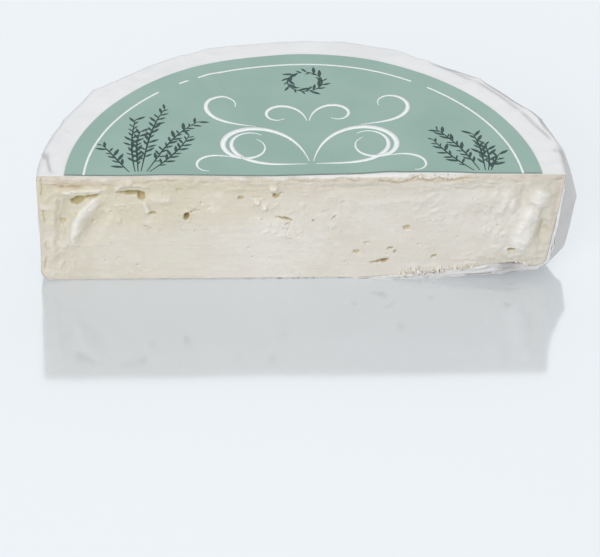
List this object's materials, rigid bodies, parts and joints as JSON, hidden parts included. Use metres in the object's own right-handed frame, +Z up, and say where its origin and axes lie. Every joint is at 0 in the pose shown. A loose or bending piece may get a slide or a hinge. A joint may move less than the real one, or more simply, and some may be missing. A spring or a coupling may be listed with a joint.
{
  "type": "goat brie half wheel",
  "caption": "Half of a flat round goat cheese, cut across its middle, in a pleated white paper wrapper open at the cut, with a half-round green label on top.",
  "frame": {"origin": "the middle of the bounding box on the surface that the half wheel rests on", "axes": "+X along the cut face, to the right seen from in front of the cut; +Y away from the cut, into the half wheel; +Z up"},
  "size_m": [0.1998, 0.0942, 0.0468],
  "materials": {
    "cheese_paste": "soft, moist ivory paste with a thin pale rind",
    "wrapper_paper": "satin white wrapping paper, creased and pleated",
    "label_paper": "matt printed paper, grey green with white and dark green ornament"
  },
  "bodies": {
    "root": {"cheese": "cheese_paste", "wrapper": "wrapper_paper", "label": "label_paper"}
  },
  "joints": []
}
